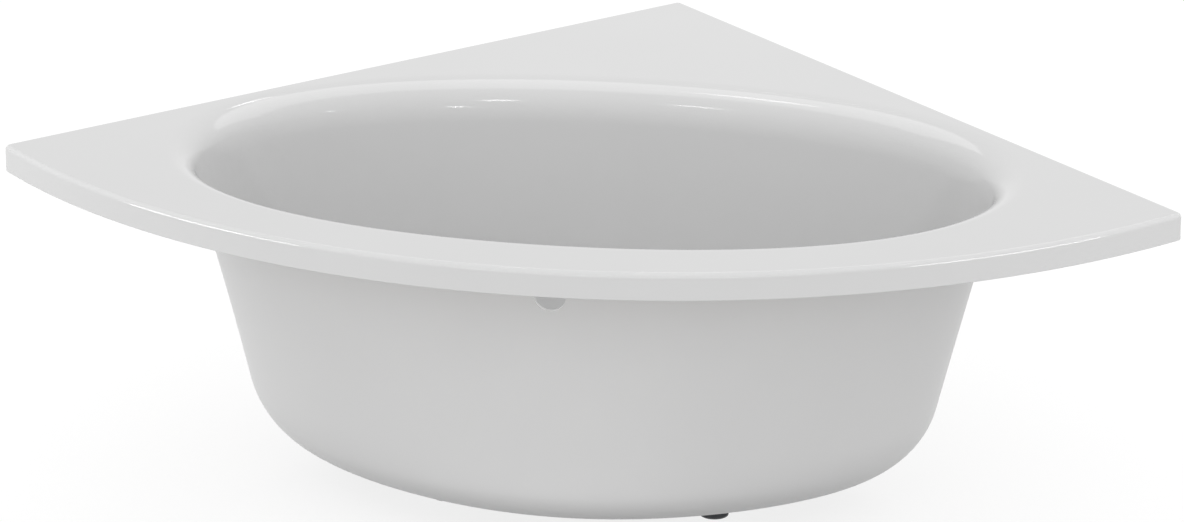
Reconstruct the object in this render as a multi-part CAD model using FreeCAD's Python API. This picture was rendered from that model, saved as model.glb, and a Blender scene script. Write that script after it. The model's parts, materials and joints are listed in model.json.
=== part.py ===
import FreeCAD, Part
import os
from collections import namedtuple
from math import cos, pi, radians, sin, sqrt, tan

# A corner bath with a bowed front, in millimetres.
# X runs along the bowed front, the wall corner points to +Y and the front to -Y, +Z is up.
# The origin lies on the floor, under the middle of the bath.

# Rim: two straight wall edges that meet in a right-angled corner, and one bowed front
side_length = 1400.0
corner_to_front = 1436.0
rim_height = 46.0
rim_edge_radius = 8.0
rim_corner_radius = 10.0

# The moulded sheet and what stiffens it
acrylic_thickness = 4.0
fibreglass_thickness = 3.0
base_board_thickness = 18.0
base_board_margin = 6.0

# Where the well starts, and how deep it is
corner_deck = 449.0
front_deck = 109.0
wall_deck = 16.0
well_depth = 490.0

# How much fuller than an ellipse the well's outline is, at the deck and at the base
top_fullness = 0.05
base_fullness = 0.0

# How much narrower towards the front the outline is at the base, as an egg is; at the deck it is even
base_taper = 0.227

# The well's wall at the back, the two ends and the front: the roll from the deck into the wall,
# the wall's lean in degrees, and the sweep from the wall into the floor
back_roll = 110.0
back_lean = 20.0
back_sweep = 90.0
end_roll = 59.0
end_lean = 15.65
end_sweep = 134.0
front_roll = 30.0
front_lean = 4.5
front_sweep = 45.0

# Timber battens under the rim
batten_width = 30.0
batten_height = 22.0
batten_edge_gap = 3.0
corner_batten_gap = 60.0
corner_batten_length = 670.0
end_batten_gap = 60.0
end_batten_length = 150.0
front_batten_end_gap = 120.0
batten_well_gap = 4.0

# Overflow hole in the front wall, bare
overflow_depth = 96.0
overflow_hole_radius = 26.0

# Waste: hole, dished seat, and the fitting in it
waste_setback = 120.0
waste_hole_radius = 26.0
waste_dish_depth = 5.0
waste_dish_slope = 4.0
dish_edge_gap = 3.0
flange_radius = 35.0
flange_thickness = 3.0
flange_edge_radius = 1.2
neck_radius = 24.8
tail_radius = 23.9
tail_bore_radius = 20.5
tail_clear_of_floor = 25.0
seat_cone_radius = 25.5
seat_cone_depth = 5.0
spider_arm_width = 3.6
spider_height = 5.0
spider_drop = 20.0
spider_arms = 4
hub_radius = 11.0
upper_washer_thickness = 1.5
lower_washer_thickness = 3.0
lower_washer_radius = 35.0
back_nut_flats = 66.0
back_nut_height = 9.0
pocket_gap = 9.0

# Push-to-open plug in the waste, with its spring in a cartridge
cartridge_radius = 8.0
cartridge_wall = 1.5
cartridge_floor = 2.0
cartridge_above_spider = 6.0
cartridge_cap_thickness = 3.0
cartridge_play = 1.4
stem_radius = 3.2
stem_end_gap = 0.5
stem_collar_height = 1.6
spring_length = 8.0
spring_wire_radius = 0.5
spring_turns = 4
plug_travel = 9.0
plug_cap_radius = 31.0
plug_cap_thickness = 4.0
plug_cap_crown = 1.6
plug_boss_radius = 16.0
plug_boss_height = 6.0
plug_socket_depth = 4.0
plug_seal_height = 3.4
plug_seat_gap = 0.4

# Adjustable legs on pressed steel rails under the base
leg_height = 55.0
rail_steel = 2.0
rail_channel_width = 44.0
rail_channel_depth = 20.0
rail_lip = 22.0
rail_length = 240.0
rail_inset = 195.0
rail_set_back = 48.0
rail_bend_radius = 1.5
bracket_length = 110.0
leg_from_rail_end = 40.0
rod_radius = 6.0
rod_above_nut = 5.0
nut_flats = 19.0
weld_nut_height = 8.0
lock_nut_height = 6.0
pad_radius = 24.0
pad_rim_height = 3.0
pad_neck_radius = 15.0
pad_cone_height = 8.0
pad_hex_flats = 26.0
pad_hex_height = 6.0
pad_sole = 5.0

# Screws that hold the rails to the base board
screw_radius = 2.4
screw_length = 16.0
screw_tip = 4.0
screw_head_radius = 4.6
screw_head_height = 2.8
screw_from_rail_end = 80.0
bracket_screw_from_end = 20.0

# Clearances
press_clearance = 0.05
running_clearance = 0.1
bolt_clearance = 0.5

# How finely the curves are followed
oval_points = 36
roll_levels = 9
sweep_levels = 9

Side = namedtuple("Side", "roll lean sweep")
back_side = Side(back_roll, radians(back_lean), back_sweep)
end_side = Side(end_roll, radians(end_lean), end_sweep)
front_side = Side(front_roll, radians(front_lean), front_sweep)
sides = (back_side, end_side, front_side)

# A face of the well lies some offset outside the bathing surface and has its own floor depth
Face = namedtuple("Face", "offset floor")
skin_thickness = acrylic_thickness + fibreglass_thickness
base_depth = well_depth + skin_thickness + base_board_thickness
bathing_face = Face(0.0, well_depth)
sheet_back_face = Face(acrylic_thickness, well_depth + acrylic_thickness)
outer_face = Face(skin_thickness, base_depth)

deck_height = base_depth + leg_height

# The rounded wall corner stops short of where the two wall edges would meet
corner_cut = (sqrt(2) - 1) * rim_corner_radius
front_y = -(corner_to_front - corner_cut) / 2
corner_y = front_y + corner_to_front
well_back_y = corner_y - corner_deck
well_front_y = front_y + front_deck

# The bowed front is one arc through the two ends of the wall edges
half_width = side_length / sqrt(2)
front_bow = corner_to_front - half_width
front_radius = (half_width ** 2 + front_bow ** 2) / (2 * front_bow)
front_centre_y = front_y + front_radius


def vec(x, y, z):
    return FreeCAD.Vector(x, y, z)


def level(depth):
    """The height above the floor of something at a depth below the deck."""
    return deck_height - depth


def tube(outer, inner, bottom, top, x=0.0, y=0.0):
    """An upright ring between two heights."""
    ring = Part.makeCylinder(outer, top - bottom, vec(x, y, bottom))
    return ring.cut(Part.makeCylinder(inner, top - bottom, vec(x, y, bottom)))


def rod(radius, bottom, top, x=0.0, y=0.0):
    return Part.makeCylinder(radius, top - bottom, vec(x, y, bottom))


def cone(bottom_radius, top_radius, bottom, top, x=0.0, y=0.0):
    return Part.makeCone(bottom_radius, top_radius, top - bottom, vec(x, y, bottom))


def hexagon(flats, bottom, top, x=0.0, y=0.0):
    """An upright hexagonal prism, measured across its flats."""
    corner = flats / sqrt(3)
    points = [vec(x + corner * cos(i * pi / 3), y + corner * sin(i * pi / 3), bottom) for i in range(7)]
    return Part.Face(Part.makePolygon(points)).extrude(vec(0, 0, top - bottom))


def rounded(solid, radius, wanted):
    """The solid with the edges that are wanted rounded."""
    return solid.makeFillet(radius, [edge for edge in solid.Edges if wanted(edge)])


def oval_point(angle, half, front, back, fullness, taper=0.0):
    """A point of an oval: an ellipse at fullness 0, squarer above it, and an egg with a taper."""
    x = half * cos(angle) * (1 + fullness * sin(angle) ** 2 + taper * sin(angle))
    y = (front + back) / 2 + (back - front) / 2 * sin(angle) * (1 + fullness * cos(angle) ** 2)
    return x, y


def oval_wire(half, front, back, z, fullness, taper=0.0):
    """A closed smooth oval, with its seam at the back."""
    angles = [pi / 2 + 2 * pi * i / oval_points for i in range(oval_points)]
    points = [vec(*oval_point(angle, half, front, back, fullness, taper), z) for angle in angles]
    curve = Part.BSplineCurve()
    steps = [float(i) for i in range(oval_points + 1)]
    curve.interpolate(Points=points, PeriodicFlag=True, Parameters=steps)
    return Part.Wire(curve.toShape())


def half_length_of_well():
    """The well's half length at the deck, which leaves the narrowest deck along both walls."""
    def deck_left(half):
        angles = [radians(degrees) for degrees in range(91)]
        points = [oval_point(angle, half, well_front_y, well_back_y, top_fullness) for angle in angles]
        return (corner_y - max(x + y for x, y in points)) / sqrt(2)
    short, long = 0.0, corner_to_front
    for _ in range(50):
        middle = (short + long) / 2
        if deck_left(middle) > wall_deck:
            short = middle
        else:
            long = middle
    return short


well_half_length = half_length_of_well()


def roll_end(side, face):
    """The depth at which the roll passes into the wall."""
    return side.roll - (side.roll - face.offset) * sin(side.lean)


def sweep_radius(side, face):
    return side.sweep + face.floor - well_depth


def sweep_start(side, face):
    """The depth at which the wall passes into the sweep to the floor."""
    return face.floor - sweep_radius(side, face) * (1 - sin(side.lean))


def wall_inset(side, depth, face):
    """How far inside the start of the roll the straight wall lies at a depth."""
    arc = side.roll - face.offset
    return arc * cos(side.lean) + (depth - roll_end(side, face)) * tan(side.lean)


def floor_inset(side, face):
    """How far inside the start of the roll the flat floor begins."""
    start = sweep_start(side, face)
    return wall_inset(side, start, face) + sweep_radius(side, face) * cos(side.lean)


def inset(side, depth, face):
    """How far inside the start of the roll the face lies at a depth: roll, wall or sweep."""
    if depth < roll_end(side, face):
        arc = side.roll - face.offset
        return sqrt(max(arc ** 2 - (side.roll - depth) ** 2, 0.0))
    if depth <= sweep_start(side, face):
        return wall_inset(side, depth, face)
    radius = sweep_radius(side, face)
    rise = depth - (face.floor - radius)
    return floor_inset(side, face) - sqrt(max(radius ** 2 - rise ** 2, 0.0))


def fullness_at(depth):
    return top_fullness + (base_fullness - top_fullness) * depth / base_depth


def taper_at(depth):
    return base_taper * depth / base_depth


def section(depth, face, margin=0.0):
    """The level outline of a face of the well at a depth."""
    half = well_half_length - inset(end_side, depth, face) - margin
    front = well_front_y + inset(front_side, depth, face) + margin
    back = well_back_y - inset(back_side, depth, face) - margin
    return oval_wire(half, front, back, level(depth), fullness_at(depth), taper_at(depth))


def well_faces(face):
    """One side of the well's skin, from the start of the roll down to and with the floor."""
    widest_roll = max(sides, key=lambda side: roll_end(side, face))
    arc = widest_roll.roll - face.offset
    turns = [(pi / 2 - widest_roll.lean) * i / (roll_levels - 1) for i in range(roll_levels)]
    rolls = [widest_roll.roll - arc * cos(turn) for turn in turns]
    first_sweep = min(sides, key=lambda side: sweep_start(side, face))
    radius = sweep_radius(first_sweep, face)
    step = (pi / 2 - first_sweep.lean) / (sweep_levels - 1)
    rises = [radius * sin(first_sweep.lean + step * i) for i in range(sweep_levels)]
    sweeps = [face.floor - radius + rise for rise in rises]
    roll = Part.makeLoft([section(depth, face) for depth in rolls], False, False)
    wall = Part.makeLoft([section(depth, face) for depth in (rolls[-1], sweeps[0])], False, True)
    sweep = Part.makeLoft([section(depth, face) for depth in sweeps], False, False)
    return roll.Faces + wall.Faces + sweep.Faces + [Part.Face(section(sweeps[-1], face))]


def well_mouth(face):
    """The flat opening at the start of the roll."""
    return Part.Face(section(face.offset, face))


def sewn(faces):
    """One solid from the faces that enclose it."""
    shell = Part.makeShell(faces)
    shell.sewShape()
    return Part.makeSolid(shell)


def rim_block(inset_by, top, bottom, edge_radius):
    """A block of the rim's plan, drawn in from its edges, with its top edges rounded."""
    wall_sum = corner_y - inset_by * sqrt(2)
    arc_radius = front_radius - inset_by
    reach = wall_sum - front_centre_y
    end_x = (reach + sqrt(2 * arc_radius ** 2 - reach ** 2)) / 2
    corner = vec(0, wall_sum, bottom)
    right = vec(end_x, wall_sum - end_x, bottom)
    left = vec(-end_x, wall_sum - end_x, bottom)
    front = vec(0, front_centre_y - arc_radius, bottom)
    edges = [
        Part.makeLine(corner, left),
        Part.Arc(left, front, right).toShape(),
        Part.makeLine(right, corner),
    ]
    block = Part.Face(Part.Wire(edges)).extrude(vec(0, 0, top - bottom))
    upright = rounded(block, rim_corner_radius - min(inset_by, acrylic_thickness), is_upright)
    if edge_radius == 0:
        return upright
    return rounded(upright, edge_radius, lambda edge: lies_at(edge, top))


def is_upright(edge):
    ends = [vertex.Point for vertex in edge.Vertexes]
    return len(ends) == 2 and abs(ends[0].x - ends[1].x) + abs(ends[0].y - ends[1].y) < 1e-6


def lies_at(piece, height):
    """Whether an edge or a face lies level at a height."""
    box = piece.BoundBox
    return abs(box.ZMin - height) + abs(box.ZMax - height) < 1e-6


def level_face(solid, height):
    return next(face for face in solid.Faces if lies_at(face, height))


def side_faces(solid):
    """All faces of a block but its flat top and bottom."""
    box = solid.BoundBox
    return [face for face in solid.Faces if not lies_at(face, box.ZMin) and not lies_at(face, box.ZMax)]


# The waste stands a little behind the front of the flat floor, on the middle line
waste_y = well_front_y + floor_inset(front_side, bathing_face) + waste_setback
floor_z = level(well_depth)
dish_z = floor_z - waste_dish_depth
dish_radius = flange_radius + dish_edge_gap
flange_under = dish_z + upper_washer_thickness
flange_top = flange_under + flange_thickness
skin_under_dish = dish_z - skin_thickness
back_nut_top = skin_under_dish - lower_washer_thickness
back_nut_under = back_nut_top - back_nut_height
pocket_radius = back_nut_flats / sqrt(3) + pocket_gap
base_z = level(base_depth)


def waste_dish(offset, top):
    """The space of the dished seat in the floor, on the bathing side or behind the sheet."""
    flare = waste_dish_slope / waste_dish_depth
    bottom = dish_z - offset
    radius = dish_radius + offset
    return cone(radius, radius + flare * (top - bottom), bottom, top, 0, waste_y)


def overflow_bore():
    """A cylinder through the front wall, square to it."""
    y = well_front_y + wall_inset(front_side, overflow_depth, outer_face)
    outward = vec(0, -cos(front_side.lean), -sin(front_side.lean))
    start = vec(0, y, level(overflow_depth)) - outward * 4 * skin_thickness
    return Part.makeCylinder(overflow_hole_radius, 8 * skin_thickness, start, outward)


waste_bore = rod(waste_hole_radius, base_z - leg_height, floor_z, 0, waste_y)
sheet_back_z = level(sheet_back_face.floor)


def acrylic_shell():
    """The vacuum-formed sheet: deck, turned-down rim, and well with a dished seat for the waste."""
    under_deck = level(acrylic_thickness)
    hem = level(rim_height)
    outside = rim_block(0.0, deck_height, hem, rim_edge_radius)
    inside = rim_block(acrylic_thickness, under_deck, hem, rim_edge_radius - acrylic_thickness)
    deck = level_face(outside, deck_height).cut(well_mouth(bathing_face))
    deck_back = level_face(inside, under_deck).cut(well_mouth(sheet_back_face))
    hem_edge = level_face(outside, hem).cut(level_face(inside, hem))
    rim = side_faces(outside) + side_faces(inside) + deck.Faces + deck_back.Faces + hem_edge.Faces
    sheet = sewn(rim + well_faces(bathing_face) + well_faces(sheet_back_face))
    sheet = sheet.fuse(waste_dish(acrylic_thickness, sheet_back_z + acrylic_thickness / 2))
    dish_space = waste_dish(0.0, floor_z + waste_dish_depth)
    return sheet.cut(dish_space).cut(overflow_bore()).cut(waste_bore)


board_under = base_z + fibreglass_thickness


def board_blank(top):
    """The board's oval, up to a height, cut away round the waste."""
    outline = section(base_depth, outer_face, base_board_margin)
    outline.translate(vec(0, 0, fibreglass_thickness))
    blank = Part.Face(outline).extrude(vec(0, 0, top - board_under))
    return blank.cut(rod(pocket_radius + fibreglass_thickness, board_under, top, 0, waste_y))


def fibreglass_backing():
    """The laminate sprayed on the back of the sheet, round the board and under the deck."""
    top = level(acrylic_thickness)
    bottom = level(skin_thickness)
    layer = rim_block(rim_edge_radius, top, bottom, 0)
    deck_side = level_face(layer, top).cut(well_mouth(sheet_back_face))
    open_side = level_face(layer, bottom).cut(well_mouth(outer_face))
    rim = side_faces(layer) + deck_side.Faces + open_side.Faces
    skin = sewn(rim + well_faces(sheet_back_face) + well_faces(outer_face))
    skin = skin.cut(board_blank(sheet_back_z + base_board_thickness / 2))
    skin = skin.cut(waste_dish(acrylic_thickness, sheet_back_z + waste_dish_depth))
    pocket = rod(pocket_radius, base_z - fibreglass_thickness, skin_under_dish, 0, waste_y)
    return skin.cut(pocket).cut(overflow_bore()).cut(waste_bore)


batten_top = level(skin_thickness)
batten_inset = rim_edge_radius + batten_edge_gap


def well_space():
    """The well's outline at the deck, with its gap to the battens, over a batten's height."""
    outline = oval_wire(
        well_half_length + batten_well_gap, well_front_y - batten_well_gap, well_back_y + batten_well_gap,
        batten_top - batten_height, top_fullness,
    )
    return Part.Face(outline).extrude(vec(0, 0, batten_height))


def wall_batten(start, length, hand):
    """A straight batten beside a wall edge, from a distance from the corner, trimmed to clear the well."""
    strip = Part.makeBox(length, batten_width, batten_height)
    strip.translate(vec(start, -batten_inset - batten_width, -batten_height))
    strip.rotate(vec(0, 0, 0), vec(0, 0, 1), -45)
    strip.translate(vec(0, corner_y, batten_top))
    strip = strip.cut(well_space())
    if hand < 0:
        return strip.mirror(vec(0, 0, 0), vec(1, 0, 0))
    return strip


def front_batten():
    """A batten laminated to the bow of the front."""
    outer = front_radius - batten_inset
    reach = half_width - front_batten_end_gap
    bottom = batten_top - batten_height
    ring = tube(outer, outer - batten_width, bottom, batten_top, 0, front_centre_y)
    window = Part.makeBox(2 * reach, front_radius, batten_height, vec(-reach, front_y, bottom))
    return ring.common(window)


# Rails run front to back under the base, one each side, with a short bracket in the middle
base_front_y = well_front_y + floor_inset(front_side, outer_face)
base_back_y = well_back_y - floor_inset(back_side, outer_face)
base_half = well_half_length - floor_inset(end_side, outer_face)
base_middle_y = (base_front_y + base_back_y) / 2
rail_x = base_half - rail_inset
rail_y = base_middle_y + rail_set_back
web_under = base_z - rail_channel_depth
web_top = web_under + rail_steel
leg_spread = rail_length / 2 - leg_from_rail_end
screw_spread = rail_length / 2 - screw_from_rail_end
bracket_screw_spread = bracket_length / 2 - bracket_screw_from_end
lip_centre = rail_channel_width / 2 + rail_steel + rail_lip / 2

legs = {
    "front_left": (-rail_x, rail_y - leg_spread),
    "front_right": (rail_x, rail_y - leg_spread),
    "rear_left": (-rail_x, rail_y + leg_spread),
    "rear_right": (rail_x, rail_y + leg_spread),
    "centre": (0.0, rail_y),
}


def screw_places(x, spread):
    """Two screws in each lip of a rail."""
    return [(x + side * lip_centre, rail_y + end * spread) for side in (-1, 1) for end in (-1, 1)]


screws = screw_places(-rail_x, screw_spread) + screw_places(rail_x, screw_spread)
screws += screw_places(0.0, bracket_screw_spread)


def hat_rail(x, length):
    """A pressed channel with a lip each side, bolted lips up against the base."""
    half = rail_channel_width / 2
    wall = half + rail_steel
    lip = wall + rail_lip
    profile = [
        (-lip, base_z), (-half, base_z), (-half, web_top), (half, web_top), (half, base_z), (lip, base_z),
        (lip, base_z - rail_steel), (wall, base_z - rail_steel), (wall, web_under), (-wall, web_under),
        (-wall, base_z - rail_steel), (-lip, base_z - rail_steel), (-lip, base_z),
    ]
    start = rail_y - length / 2
    face = Part.Face(Part.makePolygon([vec(x + px, start, pz) for px, pz in profile]))
    rail = face.extrude(vec(0, length, 0))
    bends = [(half, web_top), (half, base_z), (wall, base_z - rail_steel), (wall, web_under)]

    def is_bend(edge):
        box = edge.BoundBox
        middle = box.Center
        return box.YLength > length / 2 and any(
            abs(abs(middle.x - x) - px) + abs(middle.z - pz) < 1e-6 for px, pz in bends
        )

    rail = rounded(rail, rail_bend_radius, is_bend)
    for leg_x, leg_y in legs.values():
        rail = rail.cut(rod(rod_radius + bolt_clearance, web_under, web_top, leg_x, leg_y))
    screw_hole = screw_radius + running_clearance
    for screw_x, screw_y in screws:
        rail = rail.cut(rod(screw_hole, base_z - rail_steel, base_z, screw_x, screw_y))
    return rail


def rail_screw(x, y, clearance=0.0):
    """A pan-head wood screw, driven up through the lip into the board."""
    seat = base_z - rail_steel
    radius = screw_radius + clearance
    tip = seat + screw_length + clearance
    head = rounded(
        rod(screw_head_radius, seat - screw_head_height, seat, x, y), screw_head_height / 2,
        lambda edge: lies_at(edge, seat - screw_head_height),
    )
    shank = rod(radius, seat, tip - screw_tip, x, y)
    return head.fuse([shank, cone(radius, radius / 5, tip - screw_tip, tip, x, y)])


def nuts(bottom, height):
    """One nut on each leg, from the same height."""
    bore = rod_radius + running_clearance
    return [
        hexagon(nut_flats, bottom, bottom + height, x, y).cut(rod(bore, bottom, bottom + height, x, y))
        for x, y in legs.values()
    ]


rod_top = web_top + weld_nut_height + rod_above_nut
pad_hex_bottom = pad_rim_height + pad_cone_height
pad_top = pad_hex_bottom + pad_hex_height


def leg_rod(x, y):
    """A threaded rod that stands in its foot."""
    return rod(rod_radius, pad_sole, rod_top, x, y)


def foot_pad(x, y):
    """A moulded foot with a hexagon to turn it by and a blind hole for the rod."""
    disc = rod(pad_radius, 0, pad_rim_height, x, y)
    sole = rounded(disc, pad_rim_height / 4, lambda edge: lies_at(edge, 0))
    slope = cone(pad_radius - pad_rim_height / 4, pad_neck_radius, pad_rim_height, pad_hex_bottom, x, y)
    collar = hexagon(pad_hex_flats, pad_hex_bottom, pad_top, x, y)
    hole = rod(rod_radius + press_clearance, pad_sole, pad_top, x, y)
    return sole.fuse([slope, collar]).cut(hole)


# Heights of the waste fitting, from the flange down to the open end of its tail
spider_top = flange_under - spider_drop
spider_under = spider_top - spider_height
tail_end = tail_clear_of_floor
seat_cone_bottom = flange_top - seat_cone_depth
cartridge_top = spider_top + cartridge_above_spider
cavity_radius = cartridge_radius - cartridge_wall
cavity_bottom = cartridge_top - spring_length - stem_collar_height - plug_travel - cartridge_play
plug_under = flange_top + plug_seat_gap
boss_under = plug_under - plug_boss_height
spring_top = cavity_bottom + spring_length


def waste_flange():
    """The turned flange, its neck through the floor, and its tail, with a spider for the cartridge."""
    flange = rounded(
        rod(flange_radius, flange_under, flange_top, 0, waste_y), flange_edge_radius,
        lambda edge: lies_at(edge, flange_top),
    )
    neck = rod(neck_radius, back_nut_under, flange_under, 0, waste_y)
    body = flange.fuse([neck, rod(tail_radius, tail_end, back_nut_under, 0, waste_y)])
    body = body.cut(rod(tail_bore_radius, tail_end, flange_top, 0, waste_y))
    body = body.cut(cone(tail_bore_radius, seat_cone_radius, seat_cone_bottom, flange_top, 0, waste_y))
    reach = (tail_bore_radius + tail_radius) / 2
    arms = rod(hub_radius, spider_under, spider_top, 0, waste_y)
    for i in range(spider_arms):
        arm = Part.makeBox(reach, spider_arm_width, spider_height, vec(0, -spider_arm_width / 2, 0))
        arm.rotate(vec(0, 0, 0), vec(0, 0, 1), 45 + 360 * i / spider_arms)
        arm.translate(vec(0, waste_y, spider_under))
        arms = arms.fuse(arm)
    bore = rod(cartridge_radius + press_clearance, spider_under, spider_top, 0, waste_y)
    return body.fuse(arms).cut(bore)


def waste_back_nut():
    """The large nut that draws the flange down on the floor."""
    nut = hexagon(back_nut_flats, back_nut_under, back_nut_top, 0, waste_y)
    return nut.cut(rod(neck_radius + press_clearance, back_nut_under, back_nut_top, 0, waste_y))


def plug_cartridge():
    """The cup that holds the spring, screwed into the spider."""
    cup = rod(cartridge_radius, cavity_bottom - cartridge_floor, cartridge_top, 0, waste_y)
    return cup.cut(rod(cavity_radius, cavity_bottom, cartridge_top, 0, waste_y))


def cartridge_cap():
    """The ring that closes the cartridge and guides the stem."""
    top = cartridge_top + cartridge_cap_thickness
    return tube(cartridge_radius, stem_radius + running_clearance, cartridge_top, top, 0, waste_y)


def plug_stem():
    """The stem of the plug, with the collar that the spring pushes on."""
    stem = rod(stem_radius, cavity_bottom + stem_end_gap, boss_under + plug_socket_depth, 0, waste_y)
    collar_radius = cavity_radius - running_clearance
    return stem.fuse(rod(collar_radius, spring_top, spring_top + stem_collar_height, 0, waste_y))


def plug_spring():
    """The coil under the stem's collar, as arcs of a quarter turn each."""
    radius = (cavity_radius + stem_radius) / 2
    climb = (spring_length - 2 * spring_wire_radius) / (4 * spring_turns)
    base = cavity_bottom + spring_wire_radius

    def coil_point(quarters):
        turn = quarters * pi / 2
        return vec(radius * cos(turn), waste_y + radius * sin(turn), base + climb * quarters)

    arcs = [
        Part.Arc(coil_point(i), coil_point(i + 0.5), coil_point(i + 1)).toShape()
        for i in range(4 * spring_turns)
    ]
    along = vec(0, radius * pi / 2, climb)
    wire_section = Part.Wire(Part.makeCircle(spring_wire_radius, coil_point(0), along))
    return Part.Wire(arcs).makePipeShell([wire_section], True, False)


def plug_cap():
    """The crowned disc that is pressed to open and close the waste, with the boss below it."""
    disc = rod(plug_cap_radius, plug_under, plug_under + plug_cap_thickness - plug_cap_crown, 0, waste_y)
    dome_radius = (plug_cap_radius ** 2 + plug_cap_crown ** 2) / (2 * plug_cap_crown)
    crown_top = plug_under + plug_cap_thickness
    dome = Part.makeSphere(dome_radius, vec(0, waste_y, crown_top - dome_radius))
    crown = rod(plug_cap_radius, plug_under, crown_top, 0, waste_y).common(dome)
    boss = rod(plug_boss_radius, boss_under, plug_under, 0, waste_y)
    socket = rod(stem_radius + press_clearance, boss_under, boss_under + plug_socket_depth, 0, waste_y)
    return disc.fuse([crown, boss]).cut(socket)


def plug_seal():
    """The soft ring on the boss that closes on the flange's cone."""
    bottom = plug_under - plug_seal_height
    slope = (seat_cone_radius - tail_bore_radius) / seat_cone_depth
    top_radius = seat_cone_radius
    bottom_radius = top_radius - slope * plug_seal_height
    ring = cone(bottom_radius, top_radius, bottom, plug_under, 0, waste_y)
    return ring.cut(rod(plug_boss_radius + press_clearance, bottom, plug_under, 0, waste_y))


nodes = {}
screw_holes = [rail_screw(x, y, press_clearance) for x, y in screws]
nodes["acrylic_shell"] = acrylic_shell()
nodes["fibreglass_backing"] = fibreglass_backing().cut(screw_holes)
nodes["base_board"] = board_blank(sheet_back_z).cut(screw_holes)
end_batten_start = side_length - end_batten_gap - end_batten_length
for name, hand in (("left", -1), ("right", 1)):
    nodes["corner_batten_" + name] = wall_batten(corner_batten_gap, corner_batten_length, hand)
    nodes["end_batten_" + name] = wall_batten(end_batten_start, end_batten_length, hand)
nodes["front_batten"] = front_batten()
nodes["leg_rail_left"] = hat_rail(-rail_x, rail_length)
nodes["leg_rail_right"] = hat_rail(rail_x, rail_length)
nodes["leg_bracket_centre"] = hat_rail(0.0, bracket_length)
nodes["rail_screws"] = Part.Compound([rail_screw(x, y) for x, y in screws])
nodes["weld_nuts"] = Part.Compound(nuts(web_top, weld_nut_height))
nodes["lock_nuts"] = Part.Compound(nuts(web_under - lock_nut_height, lock_nut_height))
for name, (x, y) in legs.items():
    nodes["leg_rod_" + name] = leg_rod(x, y)
    nodes["foot_pad_" + name] = foot_pad(x, y)
nodes["waste_flange"] = waste_flange()
nodes["waste_upper_washer"] = tube(
    flange_radius - flange_edge_radius, waste_hole_radius, dish_z, flange_under, 0, waste_y,
)
nodes["waste_lower_washer"] = tube(
    lower_washer_radius, neck_radius + press_clearance, back_nut_top, skin_under_dish, 0, waste_y,
)
nodes["waste_back_nut"] = waste_back_nut()
nodes["plug_cartridge"] = plug_cartridge()
nodes["cartridge_cap"] = cartridge_cap()
nodes["plug_spring"] = plug_spring()
nodes["plug_stem"] = plug_stem()
nodes["plug_cap"] = plug_cap()
nodes["plug_seal"] = plug_seal()

os.makedirs("parts", exist_ok=True)
for name, shape in nodes.items():
    shape.exportStep("parts/" + name + ".step")
    print(name, "solids", len(shape.Solids), "valid", shape.isValid(), "cm3", round(shape.Volume / 1000, 2))
print("half length of the well", well_half_length, "deck height", deck_height)
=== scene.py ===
import json
from collections import namedtuple
from math import acos, asin, atan2, cos, pi, radians, sin, sqrt, tan

import bmesh
import bpy
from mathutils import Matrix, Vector


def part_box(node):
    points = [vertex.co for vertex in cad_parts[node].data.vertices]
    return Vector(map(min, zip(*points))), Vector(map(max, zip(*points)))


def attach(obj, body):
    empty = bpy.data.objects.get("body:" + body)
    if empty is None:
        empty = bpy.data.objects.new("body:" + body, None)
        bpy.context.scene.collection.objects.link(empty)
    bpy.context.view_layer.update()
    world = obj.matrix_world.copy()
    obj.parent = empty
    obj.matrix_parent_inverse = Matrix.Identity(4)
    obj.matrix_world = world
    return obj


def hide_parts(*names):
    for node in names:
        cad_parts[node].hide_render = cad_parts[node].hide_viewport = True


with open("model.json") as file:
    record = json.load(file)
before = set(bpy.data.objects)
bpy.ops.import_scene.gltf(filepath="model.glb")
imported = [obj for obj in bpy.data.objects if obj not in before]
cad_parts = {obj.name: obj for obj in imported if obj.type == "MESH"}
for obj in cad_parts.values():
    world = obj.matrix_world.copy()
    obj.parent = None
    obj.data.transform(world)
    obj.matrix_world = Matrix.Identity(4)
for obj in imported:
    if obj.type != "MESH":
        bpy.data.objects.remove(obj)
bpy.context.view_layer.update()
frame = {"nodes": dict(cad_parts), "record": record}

MM = 0.001

# The bath's own sizes, in metres. The corner points to +Y and the bowed front to -Y.
SIDE_LENGTH = 1.400
CORNER_TO_FRONT = 1.436
RIM_HEIGHT = 46 * MM
RIM_EDGE_RADIUS = 8 * MM
RIM_CORNER_RADIUS = 10 * MM
HEM_RADIUS = 0.8 * MM
ACRYLIC = 4 * MM
LAMINATE = 3 * MM
BASE_BOARD = 18 * MM
BOARD_MARGIN = 6 * MM
CORNER_DECK = 449 * MM
FRONT_DECK = 109 * MM
WALL_DECK = 16 * MM
WELL_DEPTH = 490 * MM
TOP_FULLNESS = 0.05
BASE_FULLNESS = 0.0
BASE_TAPER = 0.227
OVERFLOW_DEPTH = 96 * MM
OVERFLOW_RADIUS = 26 * MM
WASTE_RADIUS = 26 * MM
WASTE_SETBACK = 120 * MM
DISH_DEPTH = 5 * MM
DISH_RADIUS = 38 * MM
DISH_SLOPE = 4 * MM
POCKET_RADIUS = 47.1 * MM
SEAM_GAP = 0.05 * MM
SKIN = ACRYLIC + LAMINATE
BASE_DEPTH = WELL_DEPTH + SKIN + BASE_BOARD

# Timber under the rim
BATTEN_WIDTH = 30 * MM
BATTEN_HEIGHT = 22 * MM
BATTEN_INSET = 11 * MM
BATTEN_EASE = 2 * MM
CORNER_BATTEN_GAP = 60 * MM
CORNER_BATTEN_LENGTH = 670 * MM
END_BATTEN_GAP = 60 * MM
END_BATTEN_LENGTH = 150 * MM
FRONT_BATTEN_END_GAP = 120 * MM

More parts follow.
